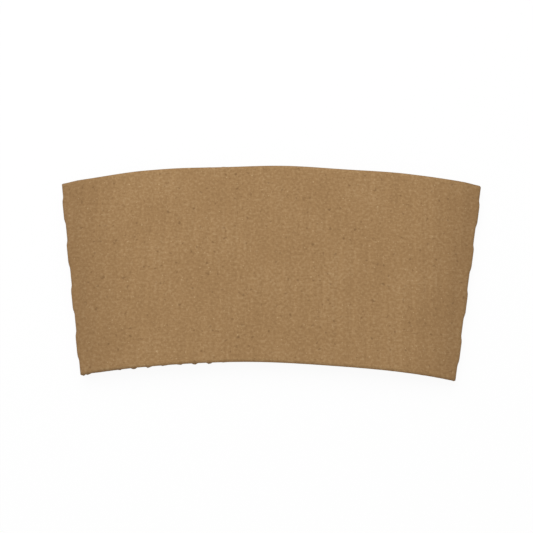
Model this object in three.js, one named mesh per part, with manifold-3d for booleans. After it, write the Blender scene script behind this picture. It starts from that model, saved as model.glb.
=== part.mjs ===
// Coffee cup sleeve, folded flat as it is delivered.
// One blank of single-face corrugated board, a smooth brown liner with one fluted sheet glued
// behind it, is die-cut as a sector of a ring and folded back along two perforated creases. Its
// ends are lapped and glued behind the front panel, so that it opens into a cone for a hot cup.
// The blank is made flat, as the die cuts it, and then every point of it is folded.
// Millimetres, +Z up: the front panel faces +Z, and +Y runs towards the wide rim.
import * as THREE from "three";
import { mergeVertices } from "three/addons/utils/BufferGeometryUtils.js";
import Module from "manifold-3d";

const wasm = await Module();
wasm.setup();
const degrees = Math.PI / 180;

// Mesh work: how near a point is to a line that it counts as on, how near two points are that
// are welded, how far two faces of one plane may turn, and the step that a slope is taken over
const tolerance = 1e-3;
const weldDistance = 1e-5;
const planeTolerance = 1e-6;
const slopeStep = 1e-3;

// Front panel, measured crease to crease on the liner
const topWidth = 134.4;
const panelHeight = 62;
const panelHalfAngle = 9.86 * degrees;

// Corrugated board
const linerThickness = 0.28;
const mediumThickness = 0.22;
const fluteRise = 0.95;
const flutePitch = 4.5;
const fluteSkew = 2.5 * degrees;
const gluedShare = 0.18;
const fluteSteps = 4;
const sheetBite = 0.04;

// Perforated creases: cuts right through the board, with bridges of board between them
const creaseLean = -0.15 * degrees;
const cutCount = 4;
const cutLength = 9.6;
const cutSpacing = 14.5;
const cutWidth = 0.3;
const cutEase = 2.2;
const cutSlack = 0.5;

// The fold: the flutes are pressed flat along it, and squeezed beside it
const foldRadius = 1.1;
const pressedDepth = 0.8;
const pressedMargin = 0.15;
const foldCrush = 0.6;
const foldSteps = 6;
const rollWidth = 5;
const rollRise = 0.7;
const rollSteps = 2;

// How far the two walls spring apart beside the folds
const frontRise = 0.8;
const backRise = 0.3;
const springReach = 26;
const springSteps = 2;

// Glued lap in the back wall
const lapWidth = 15;
const lapOffset = -11.5;
const lapClear = 1;
const lapRamp = 14;
const rampSteps = 4;
const glueThickness = 0.15;
const glueBite = 0.06;
const beadWidth = 3;
const beadSpacing = 6.5;
const beadEndGap = 4;

const arcSteps = 40;

const outerRadius = topWidth / 2 / Math.sin(panelHalfAngle);
const innerRadius = outerRadius - panelHeight;
const middleRadius = (outerRadius + innerRadius) / 2;
const boardThickness = linerThickness + fluteRise + mediumThickness;
const halfBend = (Math.PI * foldRadius) / 2;
const foldLevel = foldRadius + rollRise + backRise;
const lapStep = boardThickness + glueThickness;

// How far the uncut sheet, its flutes and the die reach past the blank
const sheetMargin = 2 * flutePitch;
const fluteOverrun = 1;
const dieReach = 2 * boardThickness;

// Angles about the cone's apex, from the front panel's centreline. The left flap ends at lapEnd
// once it is folded, and the right flap passes inside it as far as lapStart.
const lapStart = (lapOffset - lapWidth / 2) / middleRadius;
const lapEnd = (lapOffset + lapWidth / 2) / middleRadius;
const leftFlapAngle = panelHalfAngle + lapEnd;
const rightFlapAngle = panelHalfAngle - lapStart;

const brownBoard = new THREE.MeshStandardMaterial({ color: 0x9f7f58, roughness: 0.92, metalness: 0 });

// A soft step from 0 to 1.
function ease(t) {
  const c = THREE.MathUtils.clamp(t, 0, 1);
  return c * c * (3 - 2 * c);
}

// A point of the flat blank, whose own origin is the cone's apex.
function polar(radius, angle) {
  return new THREE.Vector2(radius * Math.sin(angle), radius * Math.cos(angle));
}

function solidOf(geometry) {
  const bare = geometry.clone();
  bare.deleteAttribute("normal");
  bare.deleteAttribute("uv");
  const merged = mergeVertices(bare, weldDistance);
  return new wasm.Manifold(
    new wasm.Mesh({
      numProp: 3,
      vertProperties: new Float32Array(merged.attributes.position.array),
      triVerts: new Uint32Array(merged.index.array),
    }),
  );
}

function geometryOf(solid) {
  const { vertProperties, triVerts } = solid.getMesh();
  const geometry = new THREE.BufferGeometry();
  geometry.setAttribute("position", new THREE.BufferAttribute(vertProperties, 3));
  geometry.setIndex(new THREE.BufferAttribute(triVerts, 1));
  return geometry;
}

// Depth of the fluted sheet's middle below the liner, at a share of the pitch from a glued crest.
function fluteDepth(share) {
  const slope = (Math.min(share, 1 - share) - gluedShare / 2) / (0.5 - gluedShare);
  return linerThickness - sheetBite + mediumThickness / 2 + (fluteRise + sheetBite) * ease(slope);
}

// One face of the fluted sheet across one pitch, offset square to the sheet by half its thickness.
function fluteFace(side) {
  const points = [];
  const first = gluedShare / 2;
  for (let i = 0; i <= fluteSteps; i++) {
    const share = first + ((1 - gluedShare) * i) / fluteSteps;
    const rise = fluteDepth(share + slopeStep) - fluteDepth(share - slopeStep);
    const slope = rise / (2 * slopeStep * flutePitch);
    const across = new THREE.Vector2(slope, 1).normalize().multiplyScalar((side * mediumThickness) / 2);
    const isEnd = i === 0 || i === fluteSteps;
    const lean = isEnd ? 0 : across.x;
    points.push(new THREE.Vector2(share * flutePitch - lean, -fluteDepth(share) - across.y));
  }
  return points;
}

// The fluted sheet's section over a number of pitches, as one wavy band.
function fluteBand(count) {
  const back = fluteFace(1);
  const front = fluteFace(-1);
  const band = [];
  for (let i = 0; i < count; i++) {
    for (const p of back) band.push(new THREE.Vector2(p.x + i * flutePitch, p.y));
  }
  for (let i = count - 1; i >= 0; i--) {
    for (const p of front.toReversed()) band.push(new THREE.Vector2(p.x + i * flutePitch, p.y));
  }
  return new THREE.Shape(band);
}

// The board before it is cut: the liner's smooth outside at height 0, the flutes hanging below it
// and a tunnel under the liner in every flute.
function corrugatedSheet(width, length) {
  const count = Math.ceil(width / flutePitch);
  const liner = new THREE.BoxGeometry(count * flutePitch, length, linerThickness);
  liner.translate(0, 0, -linerThickness / 2);
  const depth = length + 2 * fluteOverrun;
  const medium = new THREE.ExtrudeGeometry(fluteBand(count), { depth, bevelEnabled: false });
  medium.translate((-count * flutePitch) / 2, 0, -length / 2 - fluteOverrun);
  medium.rotateX(Math.PI / 2);
  return solidOf(liner.rotateZ(-fluteSkew)).add(solidOf(medium.rotateZ(-fluteSkew)));
}

// A crease of the blank: a line that leans a little from the cone's own ruling.
function makeCrease(hand) {
  const middle = polar(middleRadius, hand * panelHalfAngle);
  const along = polar(1, hand * (panelHalfAngle - creaseLean));
  const outward = new THREE.Vector2(along.y, -along.x).multiplyScalar(hand);
  return { hand, middle, along, outward };
}
const creases = [makeCrease(-1), makeCrease(1)];

// Where a point of the blank lies from a crease: s across it, outwards, and v along it.
function fromCrease(crease, point) {
  const step = new THREE.Vector2(point.x, point.y).sub(crease.middle);
  return { s: step.dot(crease.outward), v: step.dot(crease.along) };
}

function pointAt(crease, s, v) {
  return crease.middle.clone().addScaledVector(crease.outward, s).addScaledVector(crease.along, v);
}

function cutCentres() {
  return Array.from({ length: cutCount }, (_, i) => (i - (cutCount - 1) / 2) * cutSpacing);
}

// Corners of a strip along a crease.
function stripCorners(crease, halfWidth, near, far) {
  return [
    pointAt(crease, -halfWidth, near),
    pointAt(crease, halfWidth, near),
    pointAt(crease, halfWidth, far),
    pointAt(crease, -halfWidth, far),
  ];
}

function cutCorners(crease, centre) {
  return stripCorners(crease, cutWidth / 2, centre - cutLength / 2, centre + cutLength / 2);
}

// The die's outline: a sector of a ring, with the cuts of both creases taken out.
function blankOutline() {
  const left = -panelHalfAngle - leftFlapAngle;
  const right = panelHalfAngle + rightFlapAngle;
  const shape = new THREE.Shape();
  for (let i = 0; i <= arcSteps; i++) {
    const p = polar(innerRadius, left + ((right - left) * i) / arcSteps);
    if (i === 0) shape.moveTo(p.x, p.y);
    else shape.lineTo(p.x, p.y);
  }
  for (let i = 0; i <= arcSteps; i++) {
    const p = polar(outerRadius, right - ((right - left) * i) / arcSteps);
    shape.lineTo(p.x, p.y);
  }
  for (const crease of creases) {
    for (const centre of cutCentres()) {
      shape.holes.push(new THREE.Path(cutCorners(crease, centre)));
    }
  }
  return shape;
}

// A strip along a crease, between two depths below the liner's outside.
function creaseStrip(crease, halfWidth, from, to) {
  const corners = stripCorners(crease, halfWidth, -panelHeight, panelHeight);
  const depth = to - from;
  const strip = new THREE.ExtrudeGeometry(new THREE.Shape(corners), { depth, bevelEnabled: false });
  return solidOf(strip.translate(0, 0, -to));
}

function flatBlank() {
  const reach = outerRadius * Math.sin(panelHalfAngle + Math.max(leftFlapAngle, rightFlapAngle));
  const low = innerRadius * Math.cos(panelHalfAngle + Math.max(leftFlapAngle, rightFlapAngle));
  const sheet = corrugatedSheet(2 * (reach + sheetMargin), 2 * (outerRadius - low));
  const die = new THREE.ExtrudeGeometry(blankOutline(), { depth: 2 * dieReach, bevelEnabled: false });
  die.translate(0, 0, -dieReach);
  let board = sheet.translate(0, middleRadius, 0);
  for (const crease of creases) {
    const pressed = creaseStrip(crease, halfBend + pressedMargin, linerThickness / 2, pressedDepth);
    const hollow = creaseStrip(crease, halfBend, pressedDepth, dieReach);
    board = board.add(pressed).subtract(hollow);
  }
  return board.intersect(solidOf(die));
}

// A sheet is { points, faces }: its faces are flat convex polygons, as rings of point numbers.
function sheetOf(solid) {
  const { attributes, index } = geometryOf(solid);
  const points = [];
  for (let i = 0; i < attributes.position.count; i++) {
    points.push(new THREE.Vector3().fromBufferAttribute(attributes.position, i));
  }
  const triangles = [];
  for (let i = 0; i < index.count; i += 3) {
    triangles.push(Array.from(index.array.slice(i, i + 3)));
  }
  return { points, faces: pairUp(points, triangles) };
}

// Twice a polygon's area, along its normal.
function areaVector(points, face) {
  const area = new THREE.Vector3();
  const base = points[face[0]];
  for (let i = 1; i < face.length - 1; i++) {
    const one = points[face[i]].clone().sub(base);
    area.add(one.cross(points[face[i + 1]].clone().sub(base)));
  }
  return area;
}

function isConvex(points, face) {
  const normal = areaVector(points, face);
  return face.every((corner, i) => {
    const turn = [face.at(i - 1), corner, face[(i + 1) % face.length]];
    return areaVector(points, turn).dot(normal) > -tolerance * normal.length();
  });
}

// Joins neighbouring triangles of one plane in pairs, across their longest edges.
function pairUp(points, triangles) {
  const owner = new Map();
  triangles.forEach((t, i) => t.forEach((a, k) => owner.set(a + "," + t[(k + 1) % 3], i)));
  const isTaken = triangles.map(() => false);
  const normals = triangles.map((t) => areaVector(points, t).normalize());
  const faces = [];
  triangles.forEach((t, i) => {
    if (isTaken[i]) return;
    isTaken[i] = true;
    const length = (k) => points[t[k]].distanceTo(points[t[(k + 1) % 3]]);
    const k = [0, 1, 2].reduce((best, other) => (length(other) > length(best) ? other : best));
    const j = owner.get(t[(k + 1) % 3] + "," + t[k]);
    const far = triangles[j].find((corner) => !t.includes(corner));
    const quad = [t[k], far, t[(k + 1) % 3], t[(k + 2) % 3]];
    const isFlat = normals[i].dot(normals[j]) > 1 - planeTolerance;
    const joins = !isTaken[j] && isFlat && isConvex(points, quad);
    if (joins) isTaken[j] = true;
    faces.push(joins ? quad : t);
  });
  return faces;
}

// Gives a sheet an edge wherever side(point) = 0 crosses it inside a zone, and leaves it closed:
// the two faces beside an edge are given one and the same new point.
function split(sheet, side, inZone = () => true) {
  const { points } = sheet;
  const place = (p) => {
    const d = side(p);
    return Math.abs(d) < tolerance ? 0 : d;
  };
  const away = points.map(place);
  const made = new Map();
  const crossing = (a, b) => {
    if (away[a] * away[b] >= 0) return -1;
    const key = Math.min(a, b) + "," + Math.max(a, b);
    if (!made.has(key)) {
      const [from, to] = a < b ? [a, b] : [b, a];
      const p = points[from].clone().lerp(points[to], away[from] / (away[from] - away[to]));
      made.set(key, inZone(p) ? points.push(p) - 1 : -1);
      if (inZone(p)) away.push(0);
    }
    return made.get(key);
  };
  sheet.faces = sheet.faces.flatMap((face) => {
    const ring = face.flatMap((a, i) => [a, crossing(a, face[(i + 1) % face.length])].filter((c) => c >= 0));
    return cutRing(ring, away);
  });
}

// Cuts a ring in two where it passes from one side of a line to the other.
function cutRing(ring, away) {
  const count = ring.length;
  const isOver = (i) => away[ring[i % count]] > 0;
  const start = ring.findIndex((_, i) => isOver(i) && !isOver(i + count - 1));
  if (start < 0 || !ring.some((corner) => away[corner] < 0)) return [ring];
  const turned = [...ring.slice(start), ...ring.slice(0, start)];
  const end = turned.findIndex((corner) => away[corner] <= 0);
  if (away[turned[end]] !== 0 || away[turned.at(-1)] !== 0) return [ring];
  return [[turned.at(-1), ...turned.slice(0, end + 1)], turned.slice(end)];
}

// Cuts a face into triangles, one corner at a time, and keeps each piece as stout as it can.
function triangulate(points, face) {
  if (face.length === 3) return [face];
  const stoutness = (ring) => {
    const rim = ring.reduce((sum, a, i) => sum + points[a].distanceTo(points[ring[(i + 1) % ring.length]]), 0);
    return areaVector(points, ring).length() / rim;
  };
  let best = { score: -1 };
  face.forEach((corner, i) => {
    const ear = [face.at(i - 1), corner, face[(i + 1) % face.length]];
    const rest = face.filter((other) => other !== corner);
    const score = Math.min(stoutness(ear), stoutness(rest));
    if (score > best.score) best = { score, ear, rest };
  });
  return [best.ear, ...triangulate(points, best.rest)];
}

// The lines across a crease that the board turns at, as distances from it: it is flat between them.
function turnLines() {
  const beside = [];
  for (let i = 1; i <= rollSteps; i++) beside.push(halfBend + (rollWidth * i) / rollSteps);
  for (let i = 1; i <= springSteps; i++) {
    beside.push(halfBend + rollWidth + ((springReach - rollWidth) * i) / springSteps);
  }
  const lines = [...beside.map((d) => -d).reverse()];
  for (let i = 0; i <= foldSteps; i++) lines.push(halfBend * ((2 * i) / foldSteps - 1));
  return [...lines, ...beside];
}
const turns = turnLines();

// Distances past the left flap's end at which the right flap turns, as it steps down behind it.
const rampTurns = Array.from({ length: rampSteps + 1 }, (_, i) => lapClear + (lapRamp * i) / rampSteps);

// Where a point of the right flap ends up, past the left flap's end.
function pastLap(plan) {
  return plan.x * Math.cos(lapEnd) - plan.y * Math.sin(lapEnd);
}

function planOf(crease, point) {
  const { s, v } = fromCrease(crease, point);
  return pointAt(crease, -Math.abs(s), v);
}

// Gives the blank the edges that it bends along.
function scoreBlank(sheet) {
  for (const crease of creases) {
    const isNear = (p) => p.x * crease.hand > 0;
    for (const turn of turns) split(sheet, (p) => fromCrease(crease, p).s - turn, isNear);
    const isBend = (p) => Math.abs(fromCrease(crease, p).s) < halfBend + tolerance;
    for (const centre of cutCentres()) {
      for (const end of [-1, 1]) {
        const v = centre + (end * cutLength) / 2;
        split(sheet, (p) => fromCrease(crease, p).v - v, isBend);
        split(sheet, (p) => fromCrease(crease, p).v - v + end * cutEase, isBend);
      }
    }
  }
  const right = creases[1];
  for (const turn of rampTurns) {
    split(sheet, (p) => pastLap(planOf(right, p)) - turn, (p) => fromCrease(right, p).s > halfBend);
  }
}

// Value at x of the straight run between the nearest two of the rising numbers in lines.
function alongLines(lines, x, valueAt) {
  const c = THREE.MathUtils.clamp(x, lines[0], lines.at(-1));
  const next = Math.max(1, lines.findIndex((line) => line >= c));
  const share = (c - lines[next - 1]) / (lines[next] - lines[next - 1]);
  const low = valueAt(lines[next - 1]);
  const high = valueAt(lines[next]);
  return low.map((value, i) => THREE.MathUtils.lerp(value, high[i], share));
}

// How far a place beside a crease has come loose from the bend: 0 on a bridge, most inside a cut.
function looseness(v) {
  const inside = Math.max(...cutCentres().map((centre) => cutLength / 2 - Math.abs(v - centre)));
  return cutSlack * THREE.MathUtils.clamp(inside / cutEase, 0, 1);
}

// Height of a wall's outside from the middle of the fold, at a distance from the bend.
function wallRise(distance, rise) {
  const left = 1 - Math.min(1, distance / springReach);
  return foldRadius + rollRise * ease(distance / rollWidth) + rise * (1 - left * left);
}

// Folded section at a turn line: the place across the crease, and the height from the fold's
// middle, of a point at a depth below the liner.
function foldedAt(turn, side, depth, loose) {
  const distance = Math.abs(turn) - halfBend;
  const squeezed = depth * THREE.MathUtils.lerp(foldCrush, 1, ease(distance / rollWidth));
  if (distance >= -tolerance) {
    return [-Math.abs(turn), -side * (wallRise(distance, side < 0 ? frontRise : backRise) - squeezed)];
  }
  const radius = foldRadius - squeezed;
  const angle = turn / foldRadius;
  const bent = [radius * Math.cos(angle) - halfBend, -radius * Math.sin(angle)];
  const straight = [-Math.abs(turn), -side * radius];
  return bent.map((value, i) => THREE.MathUtils.lerp(value, straight[i], loose));
}

// Folds one point of the blank: both flaps go behind the front panel.
function foldPoint(point) {
  const crease = creases[point.x < 0 ? 0 : 1];
  const { s, v } = fromCrease(crease, point);
  const side = s < 0 ? -1 : 1;
  const loose = looseness(v);
  const [across, height] = alongLines(turns, s, (turn) => foldedAt(turn, side, -point.z, loose));
  const beyond = Math.max(0, Math.abs(s) - turns.at(-1));
  const plan = pointAt(crease, across - beyond, v);
  const isLifted = side > 0 && crease.hand > 0;
  const [lift] = alongLines(rampTurns, isLifted ? pastLap(plan) : Infinity, (turn) => [
    lapStep * (1 - ease((turn - lapClear) / lapRamp)),
  ]);
  return new THREE.Vector3(plan.x, plan.y, foldLevel + height + lift);
}

function foldedBlank() {
  const sheet = sheetOf(flatBlank());
  scoreBlank(sheet);
  const triangles = sheet.faces.flatMap((face) => triangulate(sheet.points, face));
  const folded = new THREE.BufferGeometry().setFromPoints(sheet.points.map(foldPoint));
  folded.setIndex(triangles.flat());
  return solidOf(folded);
}

// A bead of glue in the lap, from the left flap's flutes to the right flap's liner.
function glueBead(offset) {
  const centre = lapOffset + offset;
  const ends = [innerRadius + beadEndGap, outerRadius - beadEndGap];
  const corners = [
    polar(ends[0], (centre - beadWidth / 2) / middleRadius),
    polar(ends[0], (centre + beadWidth / 2) / middleRadius),
    polar(ends[1], (centre + beadWidth / 2) / middleRadius),
    polar(ends[1], (centre - beadWidth / 2) / middleRadius),
  ];
  const depth = glueThickness + 2 * glueBite;
  const bead = new THREE.ExtrudeGeometry(new THREE.Shape(corners), { depth, bevelEnabled: false });
  bead.translate(0, 0, boardThickness - glueBite);
  return solidOf(bead);
}

const glued = foldedBlank().add(glueBead(-beadSpacing / 2)).add(glueBead(beadSpacing / 2));
const sleeve = new THREE.Mesh(geometryOf(glued), brownBoard);
sleeve.name = "sleeve";

// The origin is under the middle of the folded sleeve, not at the cone's apex.
sleeve.geometry.computeBoundingBox();
sleeve.position.y = -(sleeve.geometry.boundingBox.min.y + sleeve.geometry.boundingBox.max.y) / 2;

const part = new THREE.Group();
part.add(sleeve);
export default part;
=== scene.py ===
# %% [markdown]
# # Coffee cup sleeve, folded flat
#
# This scene gives a takeaway coffee cup sleeve its real look. The sleeve is one blank of
# single-face corrugated board: a smooth brown liner with one fluted sheet glued behind it. It is
# folded flat along two perforated creases, and its ends are lapped and glued behind the front.
#
# The CAD part holds the same board as one solid with coarse flutes. Here the liner and the fluted
# sheet are made again as two thin sheets of their own, fine enough to show round flutes, bent
# bridges and loose cut edges, and both are folded by one and the same function.

import math

import bpy
import numpy as np
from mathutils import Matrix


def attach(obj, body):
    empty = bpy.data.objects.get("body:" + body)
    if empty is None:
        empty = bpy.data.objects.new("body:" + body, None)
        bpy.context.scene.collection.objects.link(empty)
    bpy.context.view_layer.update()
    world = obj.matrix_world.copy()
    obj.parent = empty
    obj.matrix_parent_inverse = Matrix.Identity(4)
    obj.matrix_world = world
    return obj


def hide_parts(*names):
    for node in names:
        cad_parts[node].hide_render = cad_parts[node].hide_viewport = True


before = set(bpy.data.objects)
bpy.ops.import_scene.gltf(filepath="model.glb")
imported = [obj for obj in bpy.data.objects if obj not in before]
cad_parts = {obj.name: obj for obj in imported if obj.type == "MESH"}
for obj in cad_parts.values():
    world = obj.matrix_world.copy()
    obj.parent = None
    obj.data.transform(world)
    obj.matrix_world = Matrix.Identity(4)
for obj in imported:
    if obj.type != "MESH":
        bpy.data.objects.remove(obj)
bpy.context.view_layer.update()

# %% [markdown]
# ## Sizes
#
# A sleeve that opens into a cone is cut as a sector of a ring. All sizes are in millimetres until
# the last step, and they are the CAD part's own, so that the looks fit the solid without a shift.
# Only the two sheets are 0.02 mm thinner each, so that they stay clear of each other.

# %% Panel and board
PANEL_HALF_ANGLE = math.radians(9.86)
TOP_WIDTH = 134.4
PANEL_HEIGHT = 62.0
OUTER = TOP_WIDTH / 2 / math.sin(PANEL_HALF_ANGLE)
INNER = OUTER - PANEL_HEIGHT
MIDDLE = (OUTER + INNER) / 2

LINER = 0.26
MEDIUM = 0.2
BOARD = 1.45
FLUTE_RISE = 0.95
FLUTE_PITCH = 4.5
FLUTE_SKEW = math.radians(2.5)
GLUED_SHARE = 0.18
print("ring radii:", round(INNER, 1), "and", round(OUTER, 1), "mm")

# %% Creases and folds
CREASE_LEAN = math.radians(-0.15)
FOLD_RADIUS = 1.1
HALF_BEND = math.pi * FOLD_RADIUS / 2
ROLL_WIDTH = 5.0
ROLL_RISE = 0.7
FRONT_RISE = 0.8
BACK_RISE = 0.3
SPRING_REACH = 26.0
FOLD_LEVEL = FOLD_RADIUS + ROLL_RISE + BACK_RISE

CUT_COUNT = 4
CUT_LENGTH = 9.6
CUT_SPACING = 14.5
CUT_WIDTH = 0.3
CUT_EASE = 2.2
CUT_SLACK = 0.5
CUT_CENTRES = (np.arange(CUT_COUNT) - (CUT_COUNT - 1) / 2) * CUT_SPACING
print("middle of the folds:", round(FOLD_LEVEL, 2), "mm up, cuts centred on", CUT_CENTRES, "mm")

# %% Glued lap
LAP_WIDTH = 15.0
LAP_OFFSET = -11.5
LAP_CLEAR = 1.0
LAP_RAMP = 14.0
LAP_START = (LAP_OFFSET - LAP_WIDTH / 2) / MIDDLE
LAP_END = (LAP_OFFSET + LAP_WIDTH / 2) / MIDDLE
LEFT_END = -2 * PANEL_HALF_ANGLE - LAP_END
RIGHT_END = 2 * PANEL_HALF_ANGLE - LAP_START

GLUE = 0.15
BEAD_WIDTH = 3.0
BEAD_SPACING = 6.5
BEAD_END_GAP = 4.0
print("the blank runs over", round(math.degrees(RIGHT_END - LEFT_END), 2), "degrees")


# %% [markdown]
# ## Places on the flat blank
#
# A place is told by its radius and angle about the ring's centre, or by its place beside a crease:
# `s` across the crease, outwards from the front panel, and `v` along it. The mesh is a grid of
# angles and radii. It could be even all over, but then the tight folds would be coarse or the flat
# panel would be wastefully fine, so the lines gather along the creases and at the ends of each cut.

# %% Creases
def ease(t):
    """A soft step from 0 to 1."""
    c = np.clip(t, 0, 1)
    return c * c * (3 - 2 * c)


def blend(a, b, share):
    return a + (b - a) * share


def crease(hand):
    """A crease's middle, its direction and the way outwards, for the left (-1) or right (1)."""
    angle = hand * PANEL_HALF_ANGLE
    lean = hand * (PANEL_HALF_ANGLE - CREASE_LEAN)
    middle = MIDDLE * np.array([math.sin(angle), math.cos(angle)])
    along = np.array([math.sin(lean), math.cos(lean)])
    return middle, along, hand * np.array([along[1], -along[0]])


def crease_distance(x, y):
    """How far a place lies from the nearer crease."""
    distances = []
    for hand in (-1, 1):
        middle, _, outward = crease(hand)
        distances.append(np.abs((np.stack([x, y], axis=-1) - middle) @ outward))
    return np.minimum(*distances)


print("middle of the right crease:", np.round(crease(1)[0], 1), "mm from the ring's centre")

# %% Grid lines
ROWS_IN_CUT_ENDS = (-0.5, 0, 0.4, 0.8, 1.2, 1.6)
CLOSEST_ROWS = 0.15
LINES_BESIDE_CREASE = (CUT_WIDTH / 2, 0.4, 0.7, 1.0, 1.35, 1.7, 2.04, 2.4, 2.8, 3.4, 4.2, 5.0)


def angle_beside(hand, s, radii):
    """The angles at which a line beside a crease crosses the given radii."""
    middle, along, outward = crease(hand)
    start = middle + s * outward
    reach = start @ along
    v = -reach + np.sqrt(reach**2 + radii**2 - start @ start)
    points = start + v[:, None] * along
    return np.arctan2(points[:, 0], points[:, 1])


def lines_between(first, last, spacing):
    """Lines at an even spacing between two others, without the first and the last."""
    count = max(2, round(float(np.mean(np.abs(last - first))) * MIDDLE / spacing))
    return [blend(first, last, i / count) for i in range(1, count)]


def grid_radii(spacing):
    """Radii of the rows: even over the panel, and closer at both ends of each cut."""
    radii = list(np.linspace(INNER, OUTER, round(PANEL_HEIGHT / spacing) + 1))
    for centre in CUT_CENTRES:
        for end in (-1, 1):
            for inset in ROWS_IN_CUT_ENDS:
                radii.append(MIDDLE + centre + end * (CUT_LENGTH / 2 - inset))
    radii = np.unique(np.round(radii, 3))
    radii = radii[np.append(True, np.diff(radii) > CLOSEST_ROWS)]
    radii[-1] = OUTER
    return radii


def blank_grid(spacing, row_spacing):
    """Angles and radii of a grid over the blank, and the columns in which the creases lie."""
    radii = grid_radii(row_spacing)
    beside = LINES_BESIDE_CREASE
    offsets = [*(-s for s in reversed(beside)), *beside]
    left = [angle_beside(-1, s, radii) for s in reversed(offsets)]
    right = [angle_beside(1, s, radii) for s in offsets]
    ends = [np.full_like(radii, LEFT_END), np.full_like(radii, RIGHT_END)]
    angles = [ends[0], *lines_between(ends[0], left[0], spacing), *left]
    fold_left = len(angles) - len(beside) - 1
    angles += lines_between(left[-1], right[0], spacing)
    fold_right = len(angles) + len(beside) - 1
    angles += [*right, *lines_between(right[-1], ends[1], spacing), ends[1]]
    return np.array(angles), radii, (fold_left, fold_right)


print("rows of a grid with lines 1 mm apart:", len(grid_radii(1.0)))


# %% [markdown]
# ## Folding
#
# One function folds every point of the blank. It could be done with a chain of bones or a cloth
# simulation, but board bends where it is scored and nowhere else, and that is exact arithmetic.
#
# Away from the creases a wall is almost flat, and springs a little away from the other one. At a
# bridge the board bends round the fold. Along a cut nothing holds it, so it bends less and pokes
# out past the bridges, which gives the sleeve's side edges their wave. The right flap lies on the
# left one, and steps down past its end.

# %% Heights along the walls
def looseness(v):
    """How far a place along a crease has come loose from the bend, most inside a cut."""
    inside = np.max([CUT_LENGTH / 2 - np.abs(v - centre) for centre in CUT_CENTRES], axis=0)
    return CUT_SLACK * ease(inside / CUT_EASE)


def wall_rise(distance, rise):
    """How far a wall lies above or below the folds, at a distance past the bend."""
    left = 1 - np.clip(distance / SPRING_REACH, 0, 1)
    return FOLD_RADIUS + ROLL_RISE * ease(distance / ROLL_WIDTH) + rise * (1 - left * left)


highest = float(wall_rise(SPRING_REACH, FRONT_RISE))
print("the front panel rises", round(highest, 2), "mm above the middle of the folds")


# %% Folding
def fold(x, y, depth):
    """Folds points of the blank that lie at a depth below the liner's outside."""
    folded = np.zeros((*x.shape, 3))
    for hand in (-1, 1):
        mine = (x * hand > 0) | ((x == 0) & (hand > 0))
        middle, along, outward = crease(hand)
        step = np.stack([x[mine], y[mine]], axis=-1) - middle
        s, v, d = step @ outward, step @ along, depth[mine]
        side = np.where(s < 0, -1, 1)
        distance = np.abs(s) - HALF_BEND
        rise = np.where(side < 0, FRONT_RISE, BACK_RISE)
        across, height = -np.abs(s), -side * (wall_rise(distance, rise) - d)
        radius, turn, loose = FOLD_RADIUS - d, s / FOLD_RADIUS, looseness(v)
        bend = distance < 0
        across[bend] = blend(radius * np.cos(turn) - HALF_BEND, -np.abs(s), loose)[bend]
        height[bend] = blend(-radius * np.sin(turn), -side * radius, loose)[bend]
        plan = middle + across[:, None] * outward + v[:, None] * along
        if hand > 0:
            past = plan[:, 0] * math.cos(LAP_END) - plan[:, 1] * math.sin(LAP_END)
            lift = (BOARD + GLUE) * (1 - ease((past - LAP_CLEAR) / LAP_RAMP))
            height = height + np.where(s > 0, lift, 0)
        folded[mine] = np.column_stack([plan[:, 0], plan[:, 1], FOLD_LEVEL + height])
    return folded


def folded_centre():
    """The middle of the folded sleeve up its height, where the part has its origin."""
    angles = np.linspace(LEFT_END, RIGHT_END, 2001)
    rims = [fold(r * np.sin(angles), r * np.cos(angles), 0 * angles)[:, 1] for r in (INNER, OUTER)]
    return (rims[0].min() + rims[1].max()) / 2


CENTRE_Y = folded_centre()
print("middle of the sleeve:", round(CENTRE_Y, 2), "mm from the ring's centre")

# %% [markdown]
# ## The die's small errors
#
# Perfect arcs look drawn. A real blank is stamped by a worn die: its corners are soft, its rims
# waver by a few tenths of a millimetre, the flaps end a little short of the narrow rim, and here
# and there the tips of the flutes spill out of it. Noise could do this, but each error here has one
# place and one size, so each is a small formula of the place along the rim.

# %% Soft corners and wavering rims
CORNER_NICK = 0.5
CORNER_REACH = 1.6
RIM_DEPTH = 3.0
FLAP_SHORT = 0.5
FLAP_REACH = 3.0

LEFT_DROOP = 0.5
LEFT_DROOP_START = -58.0
LEFT_DROOP_FADE = 18.0
WAVE_HEIGHT = 0.17
WAVE_LENGTH = 38.0
WAVE_PLACE = -14.4
WAVE_MIDDLE = 5.0
WAVE_REACH = 45.0
WAVE_FADE = 12.0

BULGE_HEIGHT = 0.32
BULGE_PLACE = 19.0
BULGE_REACH = 28.0
DENT_DEPTH = 0.25
DENT_PLACE = -49.0
DENT_REACH = 15.0


def wide_rim_droop(arc):
    """How far the wide rim lies below its arc, at places along it from the front's middle."""
    corner = LEFT_DROOP * (1 - ease((arc - LEFT_DROOP_START) / LEFT_DROOP_FADE))
    wave = WAVE_HEIGHT * (1 + np.cos(2 * math.pi * (arc - WAVE_PLACE) / WAVE_LENGTH))
    return corner + wave * ease((WAVE_REACH - np.abs(arc - WAVE_MIDDLE)) / WAVE_FADE)


def narrow_rim_reach(arc):
    """How far the narrow rim lies past its arc: a bulge right of the middle, a dent at the left."""
    bulge = BULGE_HEIGHT * ease(1 - np.abs(arc - BULGE_PLACE) / BULGE_REACH)
    return bulge - DENT_DEPTH * ease(1 - np.abs(arc - DENT_PLACE) / DENT_REACH)


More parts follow.
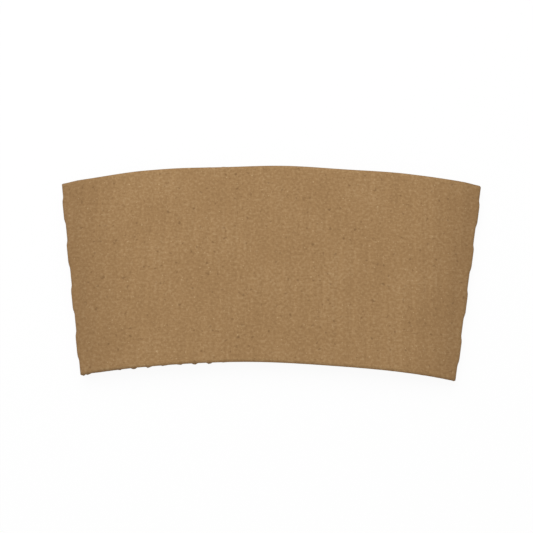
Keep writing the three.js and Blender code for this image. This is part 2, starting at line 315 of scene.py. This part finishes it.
def trimmed(x, y, radii, short):
    """Moves the points near both rims to where the die cut them, short of the narrow rim."""
    angles = np.arctan2(x, y)
    nick = CORNER_NICK * np.clip(1 - crease_distance(x, y) / CORNER_REACH, 0, 1) ** 2
    flap = FLAP_SHORT * ease((np.abs(angles) - PANEL_HALF_ANGLE) * MIDDLE / FLAP_REACH)
    reach = narrow_rim_reach(angles * INNER)
    top = ease(1 - (OUTER - radii) / RIM_DEPTH) * np.maximum(nick, wide_rim_droop(angles * OUTER))
    bottom = ease(1 - (radii - INNER) / RIM_DEPTH) * (np.maximum(nick, flap) + short - reach)
    scale = 1 + (bottom - top) / radii
    return x * scale, y * scale


left_end_droop = float(wide_rim_droop(-OUTER * PANEL_HALF_ANGLE))
print("droop of the wide rim at its left end:", round(left_end_droop, 2), "mm")

# %% [markdown]
# ## The two sheets
#
# A sheet is a grid over the blank with a front and a back, closed round its edges and round every
# cut. A Solidify modifier would do the same for a smooth sheet, but here front and back follow the
# flutes at their own depths. The faces of a cut edge get their own finish, because a knife leaves
# raw fibre there. The place of each point on the flat blank is stored with it, so that the fibres
# of the board run on round the folds.


# %% Closed shell over a grid
def present_cells(shape, radii, folds):
    """The cells of the grid that hold board: all but those of the cuts."""
    present = np.ones((shape[0] - 1, shape[1] - 1), bool)
    centre = (radii[:-1] + radii[1:]) / 2 - MIDDLE
    inside = np.max([CUT_LENGTH / 2 - np.abs(centre - cut) for cut in CUT_CENTRES], axis=0) > 0
    for column in folds:
        present[column, inside] = False
    return present


def shell_faces(present):
    """Front, back and edge faces of a closed sheet over the present cells of a grid."""
    rows = present.shape[1] + 1
    total = (present.shape[0] + 1) * rows
    column, row = np.nonzero(present)
    first = column * rows + row
    front = np.stack([first, first + rows, first + rows + 1, first + 1], axis=1)
    starts, ends = front.ravel(), np.roll(front, -1, axis=1).ravel()
    keys = starts * total + ends
    outside = ~np.isin(keys, ends * total + starts)
    a, b = starts[outside], ends[outside]
    edge = np.stack([b, a, a + total, b + total], axis=1)
    return front, front[:, ::-1] + total, edge


print("faces of a single cell:", [len(faces) for faces in shell_faces(np.ones((1, 1), bool))])


# %% Sheet builder
def across_flutes(x, y):
    """Place across the flutes, which lean a little from the middle of the panel."""
    return x * math.cos(FLUTE_SKEW) - (y - MIDDLE) * math.sin(FLUTE_SKEW)


def store(mesh, label, values):
    """Keeps a number or a vector for every point of a mesh, for its finish to read."""
    kind, key = ("FLOAT_VECTOR", "vector") if values.ndim == 2 else ("FLOAT", "value")
    kept = mesh.attributes.new(label, kind, "POINT")
    kept.data.foreach_set(key, values.astype(np.float32).ravel())


def store_places(mesh, x, y, radii, sides, used):
    """Stores where the points lie on the flat blank, for the finishes to vary by."""
    places = [np.stack([x, y - MIDDLE, -d], axis=-1).reshape(-1, 3) for d in sides]
    store(mesh, "blank", np.concatenate(places)[used])
    rim = np.broadcast_to(np.minimum(radii - INNER, OUTER - radii), x.shape)
    fields = {"across": across_flutes(x, y), "crease": crease_distance(x, y), "rim": rim}
    for label, values in fields.items():
        store(mesh, label, np.tile(values.ravel(), 2)[used])


def finish_faces(mesh, edge_count):
    """Gives the cut edges, whose faces come last, flat shading and a finish of their own."""
    smooth = np.ones(len(mesh.polygons), bool)
    smooth[-edge_count:] = False
    mesh.polygons.foreach_set("use_smooth", smooth)
    mesh.polygons.foreach_set("material_index", np.where(smooth, 0, 1).astype(np.int32))
    mesh.update()


def make_sheet(name, spacing, row_spacing, depths, shortness=None):
    """Makes a folded sheet.

    depths gives its front and its back below the liner's outside, and shortness gives how far it
    ends short of the narrow rim.
    """
    angles, radii, folds = blank_grid(spacing, row_spacing)
    x, y = radii * np.sin(angles), radii * np.cos(angles)
    x, y = trimmed(x, y, radii, shortness(x, y) if shortness else 0.0)
    sides = depths(x, y)
    front, back, edge = shell_faces(present_cells(x.shape, radii, folds))
    points = np.concatenate([fold(x, y, d).reshape(-1, 3) for d in sides])
    used = np.unique(np.concatenate([front, back, edge]))
    number = np.full(len(points), -1)
    number[used] = np.arange(len(used))
    faces = number[np.concatenate([front, back, edge])]
    mesh = bpy.data.meshes.new(name)
    mesh.from_pydata(((points[used] - [0, CENTRE_Y, 0]) / 1000).tolist(), [], faces.tolist())
    store_places(mesh, x, y, radii, sides, used)
    finish_faces(mesh, len(edge))
    piece = bpy.data.objects.new(name, mesh)
    bpy.context.collection.objects.link(piece)
    print(name, "has", len(used), "points and", len(faces), "faces")
    return piece


wander = float(across_flutes(0.0, INNER) - across_flutes(0.0, OUTER))
print("a flute wanders", round(wander, 2), "mm sideways from rim to rim")

# %% [markdown]
# ## Liner and fluted sheet
#
# The liner is an even sheet on the outside. The fluted sheet swings between the liner and the open
# side, is glued to the liner along each crest, and is pressed flat along the creases.

# %% Liner
LINER_SPACING = 1.2
LINER_ROWS = 1.0


def liner_depths(x, y):
    """Front and back of the liner below its own outside."""
    return np.zeros_like(x), np.full_like(x, LINER)


liner = make_sheet("liner", LINER_SPACING, LINER_ROWS, liner_depths)

# %% Fluted sheet
FLUTE_SPACING = 0.42
FLUTE_ROWS = 2.2
GLUE_LINE = 0.01
KEPT_ON_CREASE = 0.08
KEPT_BESIDE_CREASE = 0.52
KEPT_PAST_ROLL = 0.4
PRESSED_WIDTH = 1.6
PRESSED_FADE = 1.4

FLUTE_SHORT = 0.12
TIP_SPILL = 0.36
TIP_SHARPNESS = 6
TIP_UNEVENNESS = 0.4
TIP_BEAT = 1.7
SPILL_END = -18.0
SPILL_FADE = 8.0


def flute_depth(across):
    """Depth of the fluted sheet's middle below the liner's inside, across the flutes."""
    share = np.mod(across / FLUTE_PITCH, 1)
    slope = (np.minimum(share, 1 - share) - GLUED_SHARE / 2) / (0.5 - GLUED_SHARE)
    return FLUTE_RISE * ease(slope)


def medium_depths(x, y):
    """Front and back of the fluted sheet below the liner's outside."""
    s = crease_distance(x, y)
    kept = KEPT_ON_CREASE + KEPT_BESIDE_CREASE * ease((s - PRESSED_WIDTH) / PRESSED_FADE)
    kept += KEPT_PAST_ROLL * ease((s - HALF_BEND) / ROLL_WIDTH)
    middle = LINER + MEDIUM / 2 + GLUE_LINE + kept * flute_depth(across_flutes(x, y))
    return middle - MEDIUM / 2, middle + MEDIUM / 2


def flute_shortness(x, y):
    """The knife leaves the flutes a little short, but at the left some of their tips spill out."""
    arc = np.arctan2(x, y) * INNER
    tips = (flute_depth(across_flutes(x, y)) / FLUTE_RISE) ** TIP_SHARPNESS
    uneven = 1 - TIP_UNEVENNESS + TIP_UNEVENNESS * np.sin(TIP_BEAT * arc)
    return FLUTE_SHORT - TIP_SPILL * tips * uneven * (1 - ease((arc - SPILL_END) / SPILL_FADE))


flutes = make_sheet("fluted_sheet", FLUTE_SPACING, FLUTE_ROWS, medium_depths, flute_shortness)

# %% [markdown]
# ## Glue in the lap
#
# Two beads of cold glue hold the flaps together. Each is squeezed between the left flap's flutes
# and the right flap's liner, and only its end can be seen, deep in the rim. A flat bar between two
# radii of the ring is all that such a bead needs.

# %% Glue beads
BEAD_SOAK = 0.08
BEAD_BITE = 0.02
BEAD_BOTTOM = BOARD - BEAD_SOAK
BEAD_TOP = BOARD + GLUE + BEAD_BITE
BEAD_STEPS = 30


def glue_bead(offset):
    """One bead along the lap, at an offset from the lap's middle."""
    angles = (np.array([-0.5, 0.5]) * BEAD_WIDTH + LAP_OFFSET + offset) / MIDDLE
    radii = np.linspace(INNER + BEAD_END_GAP, OUTER - BEAD_END_GAP, BEAD_STEPS)
    corners = []
    for angle in angles:
        for z in (BEAD_BOTTOM, BEAD_TOP):
            xs, ys = radii * math.sin(angle), radii * math.cos(angle) - CENTRE_Y
            corners.append(np.column_stack([xs, ys, np.full_like(xs, z)]) / 1000)
    points = np.stack([corners[0], corners[2], corners[3], corners[1]], axis=1).reshape(-1, 3)
    faces = [[3, 2, 1, 0], [len(points) - 4 + i for i in range(4)]]
    for i in range(len(radii) - 1):
        for k in range(4):
            a, b = 4 * i + k, 4 * i + (k + 1) % 4
            faces.append([a, b, b + 4, a + 4])
    mesh = bpy.data.meshes.new("glue_bead")
    mesh.from_pydata(points.tolist(), [], faces)
    piece = bpy.data.objects.new("glue_bead", mesh)
    bpy.context.collection.objects.link(piece)
    return piece


beads = [glue_bead(side * BEAD_SPACING / 2) for side in (-1, 1)]
print("beads of glue:", len(beads))

# %% [markdown]
# ## Writing shaders as formulas
#
# A finish is easier to read as arithmetic than as a list of nodes. `Wire` holds one output of a
# shader node, and the usual operators on it make Math nodes. Any other node goes through `node`,
# and colours are mixed with `mix` or `tint`, because a Math node would turn them grey.


# %% Wires
class Wire:
    def __init__(self, tree, socket):
        self.tree = tree
        self.socket = socket

    def node(self, kind, inputs=None, output=0, **settings):
        """Adds a node: its settings first, then the values or wires of its inputs."""
        made = self.tree.nodes.new(kind)
        for name, value in settings.items():
            setattr(made, name, value)
        for key, value in (inputs or {}).items():
            if isinstance(value, Wire):
                self.tree.links.new(value.socket, made.inputs[key])
            else:
                made.inputs[key].default_value = value
        return Wire(self.tree, made.outputs[output])

    def math(self, operation, *values):
        return self.node("ShaderNodeMath", dict(enumerate(values)), operation=operation)

    def __add__(self, other):
        return self.math("ADD", self, other)

    def __radd__(self, other):
        return self.math("ADD", other, self)

    def __sub__(self, other):
        return self.math("SUBTRACT", self, other)

    def __rsub__(self, other):
        return self.math("SUBTRACT", other, self)

    def __mul__(self, other):
        return self.math("MULTIPLY", self, other)

    def __rmul__(self, other):
        return self.math("MULTIPLY", other, self)

    def cos(self):
        return self.math("COSINE", self)

    def step(self, low, high):
        """0 below low, 1 above high, and a soft step between."""
        limits = {"Value": self, "From Min": low, "From Max": high}
        return self.node("ShaderNodeMapRange", limits, interpolation_type="SMOOTHSTEP")

    def scaled(self, x, y, z):
        return self.node("ShaderNodeVectorMath", {0: self, 1: (x, y, z)}, operation="MULTIPLY")

    def noise(self, scale, detail, roughness):
        inputs = {"Vector": self, "Scale": scale, "Detail": detail, "Roughness": roughness}
        return self.node("ShaderNodeTexNoise", inputs)

    def bump(self, strength):
        """A surface that rises with this height, in millimetres."""
        inputs = {"Height": self, "Distance": 0.001, "Strength": strength}
        return self.node("ShaderNodeBump", inputs)

    def mix(self, first, second, share):
        """One colour mixed with a share of another; a share below 0 counts as none."""
        inputs = {"Factor": share, "A": first, "B": second}
        return self.node("ShaderNodeMix", inputs, output="Result", data_type="RGBA")

    def tint(self, other, share):
        return self.mix(self, other, share)


print("a wire can be", [name for name in vars(Wire) if not name.startswith("_")])


# %% Materials
def srgb(red, green, blue):
    """A screen's colour, from 0 to 255, as linear light, by the formula that screens follow."""
    parts = [value / 255 for value in (red, green, blue)]
    return (*[p / 12.92 if p <= 0.04045 else ((p + 0.055) / 1.055) ** 2.4 for p in parts], 1.0)


def new_material(name):
    """A material, a first wire to build from and its main shader."""
    material = bpy.data.materials.new(name)
    material.use_nodes = True
    tree = material.node_tree
    shader = next(n for n in tree.nodes if n.type == "BSDF_PRINCIPLED")
    return material, Wire(tree, None), shader


def connect(shader, tree, **inputs):
    """Links wires to a shader's inputs, and sets plain values on them."""
    for name, value in inputs.items():
        socket = shader.inputs[name.replace("_", " ")]
        if isinstance(value, Wire):
            tree.links.new(value.socket, socket)
        else:
            socket.default_value = value


def stored(start, label, output="Fac"):
    """What `store` kept on the mesh under a label."""
    return start.node("ShaderNodeAttribute", output=output, attribute_name=label)


print("a brown of 158, 124, 83 in linear light:", np.round(srgb(158, 124, 83)[:3], 3))

# %% [markdown]
# ## Brown board
#
# Unbleached board is never one flat colour. Its pulp clouds over centimetres, its fibres make a
# fine mottle of about a millimetre, and recycled pulp leaves dark specks, pale flecks and a few
# hairs. One image of paper would repeat and stretch round the folds, so each of these is one line
# of arithmetic on the place on the flat blank.

# %% Colour of the board
BOARD_BASE = srgb(158, 124, 83)
BOARD_DARK = srgb(104, 75, 44)
BOARD_PALE = srgb(204, 174, 132)
MOTTLE_SHARE = 1.18
CLOUD_SHARE = 0.35
FIBRE_SHARE = 0.4
HAIR_SHARE = 0.35
FLECK_SHARE = 0.5
SPECK_SHARE = 0.45


def board_colour(start, base):
    """The colour of unbleached board round a base colour, and the tone of its pulp."""
    blank = stored(start, "blank", "Vector")
    mottle = blank.noise(scale=1.15, detail=4.0, roughness=0.55) - 0.5
    clouds = blank.noise(scale=0.07, detail=2.0, roughness=0.5) - 0.5
    upright = blank.scaled(0.45, 3.2, 1.0)
    fibres = upright.noise(scale=1.0, detail=3.0, roughness=0.5) - 0.5
    sideways = blank.scaled(2.6, 0.45, 1.0)
    hairs = sideways.noise(scale=1.3, detail=2.0, roughness=0.5).step(0.66, 0.74)
    flecks = blank.noise(scale=1.5, detail=0.0, roughness=0.5).step(0.76, 0.84)
    specks = blank.noise(scale=0.62, detail=1.0, roughness=0.6).step(0.64, 0.76)
    tone = mottle * MOTTLE_SHARE + clouds * CLOUD_SHARE + fibres * FIBRE_SHARE
    shade = start.mix(base, BOARD_DARK, 0.0 - tone).tint(BOARD_PALE, tone)
    flecked = shade.tint(BOARD_PALE, hairs * HAIR_SHARE + flecks * FLECK_SHARE)
    return flecked.tint(BOARD_DARK, specks * SPECK_SHARE), tone


print("board colours:", *[np.round(c[:3], 3) for c in (BOARD_BASE, BOARD_DARK, BOARD_PALE)])

# %% [markdown]
# ### Liner
#
# On the liner the flutes behind show faintly, as light and dark bands with a weaker second band in
# each. Beside the folds, where the panel rolls down and turns from the light, shade is painted into
# the board's colour, most of all on the very fold. The rims are a little darker too.

# %% Liner's finish
BAND_MIDDLE = 0.05
BAND = 0.035
SECOND_BAND = 0.45
LEAST_BAND = 0.35
# Painted shade on each fold and for some way beside it, where the board turns from the light.
FOLD_SHADE = 0.08
FOLD_SHADE_REACH = 2.6
BESIDE_FOLD_SHADE = 0.21
BESIDE_FOLD_SHADE_REACH = 22.0
# How much darker the board is along both rims, and how far in.
RIM_DARKENING = 0.08
RIM_DARKENING_REACH = 0.5
PULP_RELIEF = 0.03
BAND_RELIEF = 0.004


def liner_material():
    material, start, shader = new_material("brown_liner")
    surface, tone = board_colour(start, BOARD_BASE)
    turn = stored(start, "across") * (2 * math.pi / FLUTE_PITCH)
    blank = stored(start, "blank", "Vector")
    patchy = blank.noise(scale=0.06, detail=1.0, roughness=0.5).step(0.35, 0.65)
    waves = turn.cos() + SECOND_BAND * (turn * 2.0 + 1.0).cos()
    band = waves * (LEAST_BAND + (1 - LEAST_BAND) * patchy)
    # Painted shade on and beside the folds, and a darker band along both rims.
    fold_shade = 1.0 - stored(start, "crease").step(0.5, FOLD_SHADE_REACH)
    beside_fold_shade = 1.0 - stored(start, "crease").step(0.5, BESIDE_FOLD_SHADE_REACH)
    rim_darkening = 1.0 - stored(start, "rim").step(0.05, RIM_DARKENING_REACH)
    fold_shade_and_rim_darkening = fold_shade * FOLD_SHADE + beside_fold_shade * BESIDE_FOLD_SHADE + rim_darkening * RIM_DARKENING
    banded_and_fold_shaded = surface.tint(BOARD_DARK, BAND_MIDDLE - band * BAND).tint(BOARD_DARK, fold_shade_and_rim_darkening)
    normal = (tone * PULP_RELIEF + band * BAND_RELIEF).bump(0.6)
    finish = {"Base_Color": banded_and_fold_shaded, "Normal": normal, "Roughness": 0.9 - tone * 0.1}
    connect(shader, material.node_tree, **finish, Specular_IOR_Level=0.25)
    return material


brown_liner = liner_material()
print("finish:", brown_liner.name, "with", len(brown_liner.node_tree.nodes), "nodes")

# %% [markdown]
# ### Fluted sheet, cut edges and glue
#
# The fluted sheet is of the same pulp, a little darker and rougher, with no bands or painted shade
# of its own. A cut edge is raw fibre, and dry glue is paler, smoother, and clouded by what it
# soaked into.

# %% Finishes of the hidden sheet, the edges and the glue
FLUTE_BASE = srgb(150, 117, 79)
CUT_DARK = srgb(140, 108, 70)
CUT_PALE = srgb(180, 149, 108)
GLUE_PALE = srgb(204, 190, 158)
GLUE_SOAKED = srgb(182, 162, 124)


def flute_material():
    material, start, shader = new_material("fluted_sheet")
    surface, tone = board_colour(start, FLUTE_BASE)
    finish = {"Base_Color": surface, "Normal": (tone * 0.05).bump(0.6), "Roughness": 0.95}
    connect(shader, material.node_tree, **finish, Specular_IOR_Level=0.2)
    return material


def cut_material():
    material, start, shader = new_material("cut_edge")
    fibre = stored(start, "blank", "Vector").noise(scale=5.0, detail=4.0, roughness=0.7)
    raw = start.mix(CUT_DARK, CUT_PALE, fibre.step(0.35, 0.65))
    finish = {"Base_Color": raw, "Normal": (fibre * 0.1).bump(0.8), "Roughness": 0.98}
    connect(shader, material.node_tree, **finish, Specular_IOR_Level=0.15)
    return material


def glue_material():
    material, start, shader = new_material("dry_glue")
    place = start.node("ShaderNodeTexCoord", output="Object")
    cloud = place.noise(scale=900.0, detail=2.0, roughness=0.5).step(0.35, 0.65)
    dried = start.mix(GLUE_PALE, GLUE_SOAKED, cloud)
    connect(shader, material.node_tree, Base_Color=dried, Roughness=0.4 + cloud * 0.2)
    return material


fluted, cut_edge, dry_glue = flute_material(), cut_material(), glue_material()
for piece, finish in ((liner, brown_liner), (flutes, fluted)):
    piece.data.materials.append(finish)
    piece.data.materials.append(cut_edge)
for bead in beads:
    bead.data.materials.append(dry_glue)
print("finishes:", [m.name for m in (fluted, cut_edge, dry_glue)])

# %% [markdown]
# ## In place of the CAD solid
#
# The sheets and the glue stand for the one solid of the CAD part, and ride on its only body.

# %% Ride on the part
for piece in (liner, flutes, *beads):
    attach(piece, "root")
    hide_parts("sleeve")
print("pieces on the part:", [piece.name for piece in (liner, flutes, *beads)])

# %% [markdown]
# ## Floor and light
#
# The sleeve lies on a wide white floor under an even white sky, with one soft lamp high beyond its
# upper left corner. That is the light of a plain product photograph: the board shows its own
# colour, and the flutes and folds are told by faint shading alone.
#
# The floor is seen as plain white, with a small share of its real shading near the sleeve, so that
# the shadow stays. Light itself falls on an ordinary white floor.

# %% Floor
SHADOW_SHARE = 0.07
SHADOW_REACH = (0.09, 0.3)
FLOOR_DROP = 0.0002


def camera_rays(start):
    """1 where the camera, a reflection or clear glass looks at the background, and 0 for light."""
    rays = start.node("ShaderNodeLightPath").socket.node
    seen = Wire(start.tree, rays.outputs["Is Camera Ray"])
    for ray in ("Is Glossy Ray", "Is Transmission Ray"):
        seen = seen.math("MAXIMUM", seen, Wire(start.tree, rays.outputs[ray]))
    return seen


bpy.ops.mesh.primitive_plane_add(size=6, location=(0, 0, -FLOOR_DROP))
floor = bpy.context.object
floor.name = "floor"
floor_material, start, floor_shader = new_material("white_floor")
connect(floor_shader, floor_material.node_tree, Base_Color=srgb(250, 250, 250), Roughness=1.0)
place = start.node("ShaderNodeTexCoord", output="Object")
distance = place.node("ShaderNodeVectorMath", {0: place}, output="Value", operation="LENGTH")
near = 1.0 - distance.step(*SHADOW_REACH)
shadow_share = 1.0 - camera_rays(start) * (1.0 - SHADOW_SHARE * near)
white = start.node("ShaderNodeEmission", {"Color": srgb(255, 255, 255), "Strength": 1.0})
shaded = Wire(floor_material.node_tree, floor_shader.outputs["BSDF"])
mixed = start.node("ShaderNodeMixShader", {0: shadow_share, 1: white, 2: shaded})
output = next(n for n in floor_material.node_tree.nodes if n.type == "OUTPUT_MATERIAL")
floor_material.node_tree.links.new(mixed.socket, output.inputs["Surface"])
floor.data.materials.append(floor_material)
print("floor:", floor.dimensions.x, "m wide")

# %% Sky and lamp
SKY = 0.6
LAMP_PLACE = (-0.07, 0.24, 0.36)

world = bpy.data.worlds.new("white_sky")
bpy.context.scene.world = world
world.use_nodes = True
background = world.node_tree.nodes["Background"]
background.inputs["Color"].default_value = (1, 1, 1, 1)
strength = SKY + (1.0 - SKY) * camera_rays(Wire(world.node_tree, None))
world.node_tree.links.new(strength.socket, background.inputs["Strength"])

lamp_data = bpy.data.lights.new("soft_lamp", "AREA")
lamp_data.size = 0.45
lamp_data.energy = 1.34
lamp = bpy.data.objects.new("soft_lamp", lamp_data)
lamp.location = LAMP_PLACE
lean_back = math.atan2(-LAMP_PLACE[1], LAMP_PLACE[2])
lean_right = math.atan2(LAMP_PLACE[0], LAMP_PLACE[2])
lamp.rotation_euler = (lean_back, lean_right, 0)
bpy.context.collection.objects.link(lamp)
print("lamp:", round(math.dist(LAMP_PLACE, (0, 0, 0)), 2), "m from the sleeve")

# %% [markdown]
# ## Camera
#
# The photographer stood at the narrow rim and looked almost straight down, so the narrow end is a
# little nearer and the keystone makes it look wider than it is.

# %% Camera
camera_data = bpy.data.cameras.new("camera")
camera_data.angle = math.radians(40)
camera = bpy.data.objects.new("camera", camera_data)
camera.location = (0.00451, -0.05281, 0.22220)
camera.rotation_euler = [math.radians(angle) for angle in (13.745, 1.123, 0.927)]
bpy.context.collection.objects.link(camera)
bpy.context.scene.camera = camera
bpy.context.scene.view_settings.view_transform = "Standard"
print("camera:", round(1000 * camera.location.z), "mm above the floor")
